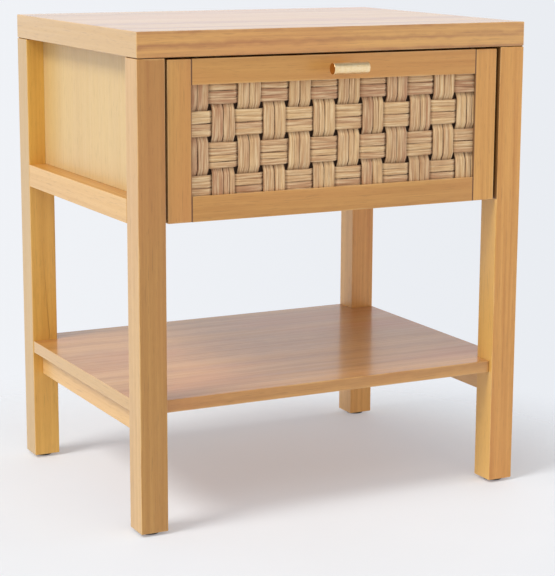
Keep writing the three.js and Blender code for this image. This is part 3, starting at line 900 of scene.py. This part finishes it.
# ---------------------------------------------------------------- screws
HEAD_RINGS = 24
SHANK, THREAD_DEPTH, TIP = 1.75 * MM, 0.4 * MM, 4 * MM
MACHINE_HEAD, WOOD_HEAD, SLIDE_HEAD = (4.15 * MM, 2.4 * MM), (3.75 * MM, 2.0 * MM), (3.0 * MM, 1.3 * MM)
THREAD_PITCH = 1.7 * MM
SLIDE_SHEET = 1.2 * MM
SLIDE_SCREWS = (0.1, 0.5, 0.88)     # shares of the slide's length, from the front


def cross_recess(arm, width, depth):
    """Carves a cross into the end of a turned screw."""
    def carve(point):
        x, y = abs(point.x), abs(point.y)
        if point.z < depth and min(x, y) < width / 2 and max(x, y) < arm:
            point.z += depth * (1 - 0.3 * max(x, y) / arm)
    return carve


def domed_head(radius, height, dome):
    """Profile points from the middle of a screw's head to its rim. dome is a share of its height."""
    points = [(0, 0)]
    for i in range(1, HEAD_RINGS + 1):
        share = i / HEAD_RINGS
        points.append((dome * height * share ** 4, radius * share))
    return points + [(height, radius)]


def add_screw(name, node, body, head, steel, thread=None):
    """A screw with a domed head and a cross recess. head is (radius, height); thread is its pitch."""
    low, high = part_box(node)
    size = high - low
    middle = (low + high) / 2
    upright = size.z > size.y
    start = (middle.x, middle.y, low.z) if upright else (middle.x, high.y, middle.z)
    direction = (0, 0, 1) if upright else (0, -1, 0)
    length = size.z if upright else size.y
    radius, height = head
    tip = length - TIP
    profile = [*domed_head(radius, height, 0.6), (height, SHANK)]
    if thread:
        first = 1.6 * height
        for i in range(int((tip - first) / thread)):
            at = first + i * thread
            profile += [(at, SHANK - THREAD_DEPTH), (at + thread / 2, SHANK)]
    profile += [(tip, SHANK - 0.3 * MM), (length, 0.2 * MM), (length, 0)]
    carve = cross_recess(0.52 * radius, 0.2 * radius, 0.5 * height)
    mesh = turned(name, profile, start, direction, carve=carve)
    add_piece(name, mesh, steel, body, [node])


def add_slide_screws(steel):
    """Pan heads that hold the slides: three on each drawer member and three on each cabinet member."""
    radius, height = SLIDE_HEAD
    profile = [*domed_head(radius, height, 0.75), (height, 0)]
    carve = cross_recess(0.55 * radius, 0.24 * radius, 0.5 * height)
    for side, sign in (("left", -1), ("right", 1)):
        for member, body in (("drawer", "drawer"), ("cabinet", "case")):
            low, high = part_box(f"{side}_slide_{member}")
            near, far = sorted((abs(low.x), abs(high.x)))
            face = near + SLIDE_SHEET if member == "drawer" else far - SLIDE_SHEET
            out = sign if member == "drawer" else -sign
            for i, share in enumerate(SLIDE_SCREWS):
                start = (face * sign + out * height, low.y + share * (high.y - low.y), (low.z + high.z) / 2)
                name = f"{side}_{member}_slide_screw_{i + 1}"
                mesh = turned(name, profile, start, (-out, 0, 0), carve=carve)
                add_piece(name, mesh, steel, body)


# ---------------------------------------------------------------- slides' balls
BALL_PITCH = 4.4 * MM
CAGE_WIDTH, CAGE_SHEET = 5.0 * MM, 0.7 * MM
CAGE_RUN = (2 * MM, 142 * MM)       # from the slide's front end
WALL_GAP = 0.3 * MM                 # between the slide and the case
BALL_ROWS = (                       # name, body, depth from the wall, height off the middle, radius
    ("outer", "case", 7.8 * MM, 19.6 * MM, 1.55 * MM),
    ("inner", "slide_middles", 9.0 * MM, 14.9 * MM, 1.65 * MM),
)


def taken_from(built):
    """A bmesh's points and faces, sorted because Blender's own order differs from run to run."""
    places = sorted(tuple(vertex.co) for vertex in built.verts)
    index = {place: i for i, place in enumerate(places)}
    faces = []
    for face in built.faces:
        corners = [index[tuple(vertex.co)] for vertex in face.verts]
        first = corners.index(min(corners))
        faces.append(tuple(corners[first:] + corners[:first]))
    built.free()
    return [Vector(place) for place in places], sorted(faces)


def ball(radius):
    built = bmesh.new()
    bmesh.ops.create_uvsphere(built, u_segments=14, v_segments=8, radius=radius)
    return taken_from(built)


def rounded_strip(size):
    built = bmesh.new()
    bmesh.ops.create_cube(built, size=1, matrix=Matrix.Diagonal((*size, 1)))
    bmesh.ops.bevel(built, geom=built.edges[:], offset=0.25 * MM, segments=2, affect="EDGES", profile=0.5)
    return taken_from(built)


def ball_cage_mesh(name, x, level, offset, radius, run):
    """Balls in their two retainer strips, one above the slide's middle and one below."""
    length = run[1] - run[0]
    count = round(length / BALL_PITCH)
    strip = rounded_strip((CAGE_WIDTH, length, CAGE_SHEET))
    one_ball = ball(radius)
    solids = []
    for z in (level - offset, level + offset):
        solids.append((strip, Vector((x, (run[0] + run[1]) / 2, z))))
        for i in range(count):
            solids.append((one_ball, Vector((x, run[0] + (i + 0.5) * length / count, z))))
    points, faces = [], []
    for (shape_points, shape_faces), place in solids:
        first = len(points)
        points += [point + place for point in shape_points]
        faces += [tuple(first + k for k in face) for face in shape_faces]
    return new_mesh(name, points, faces)


def add_ball_cages(steel):
    """The cages stay in the front half of each slide, where its members always overlap."""
    for side, sign in (("left", -1), ("right", 1)):
        low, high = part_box(f"{side}_slide_cabinet")
        wall = max(abs(low.x), abs(high.x)) + WALL_GAP
        level = (low.z + high.z) / 2
        run = [low.y + end for end in CAGE_RUN]
        for row, body, depth, offset, radius in BALL_ROWS:
            name = f"{side}_{row}_balls"
            mesh = ball_cage_mesh(name, sign * (wall - depth), level, offset, radius, run)
            flatten_faces(add_piece(name, mesh, steel, body))


# ---------------------------------------------------------------- glides, and pads painted dark as shade
FOOT_HEIGHT, PIN_RADIUS, PIN_POINT = 3.5 * MM, 1.6 * MM, 3 * MM
FOOT_RIM, FOOT_TOP_RIM = 1.5 * MM, 0.6 * MM
SHADE_PAD_INSET = 1.5 * MM


def add_glides():
    """Nail-on glides: a round foot with a soft rim, and its pin up into the leg."""
    material = nylon()
    for end in ENDS:
        for side in SIDES:
            low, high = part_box(f"{end}_{side}_glide")
            radius = (high.x - low.x) / 2
            tip = high.z - low.z
            profile = [
                (0, 0), *rounded_rim(radius, 0, FOOT_RIM, 1),
                *rounded_rim(radius, FOOT_HEIGHT, FOOT_TOP_RIM, -1),
                (FOOT_HEIGHT, PIN_RADIUS), (tip - PIN_POINT, PIN_RADIUS), (tip, 0.2 * MM), (tip, 0),
            ]
            start = ((low.x + high.x) / 2, (low.y + high.y) / 2, low.z)
            name = f"{end}_{side}_glide_foot"
            mesh = turned(name, profile, start, (0, 0, 1), 72)
            flatten_faces(add_piece(name, mesh, material, "case", [f"{end}_{side}_glide"]))


def add_shade_pads():
    """Thin pads on the legs' tops, coloured dark as a painted shadow line under the slab."""
    material = dark_board()
    slab_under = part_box("top_panel")[0].z
    for end in ENDS:
        for side in SIDES:
            low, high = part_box(f"{end}_{side}_leg")
            thickness = slab_under - high.z
            points, faces = rounded_strip(
                (high.x - low.x - 2 * SHADE_PAD_INSET, high.y - low.y - 2 * SHADE_PAD_INSET, thickness))
            middle = Vector(((low.x + high.x) / 2, (low.y + high.y) / 2, high.z + thickness / 2))
            name = f"{end}_{side}_shade_pad"
            mesh = new_mesh(name, [point + middle for point in points], faces, smooth=False)
            add_piece(name, mesh, material, "case")


def add_small_parts():
    brass = metal("brass", **BRASS, ends=PAINTED_END_SHADE)
    zinc = metal("zinc_steel", **ZINC)
    bright = metal("bright_steel", **BRIGHT)
    add_bar(brass)
    add_post(brass)
    add_glides()
    add_shade_pads()
    add_screw("pull_machine_screw", "pull_screw", "drawer", MACHINE_HEAD, bright)
    add_slide_screws(bright)
    add_ball_cages(bright)
    for side in SIDES:
        for member in ("cabinet", "middle", "drawer"):
            ease_edges(f"{side}_slide_{member}", METAL_EDGE)
            paint(f"{side}_slide_{member}", zinc)
        for end in ENDS:
            node = f"{end}_{side}_top_screw"
            add_screw(f"{end}_{side}_wood_screw", node, "case", WOOD_HEAD, bright, THREAD_PITCH)


def main():
    bpy.context.scene.view_settings.view_transform = "Standard"
    add_camera()
    add_world()
    add_key()
    add_softbox()
    add_floor()
    finish_case()
    finish_drawer()
    woven_front()
    add_small_parts()


main()
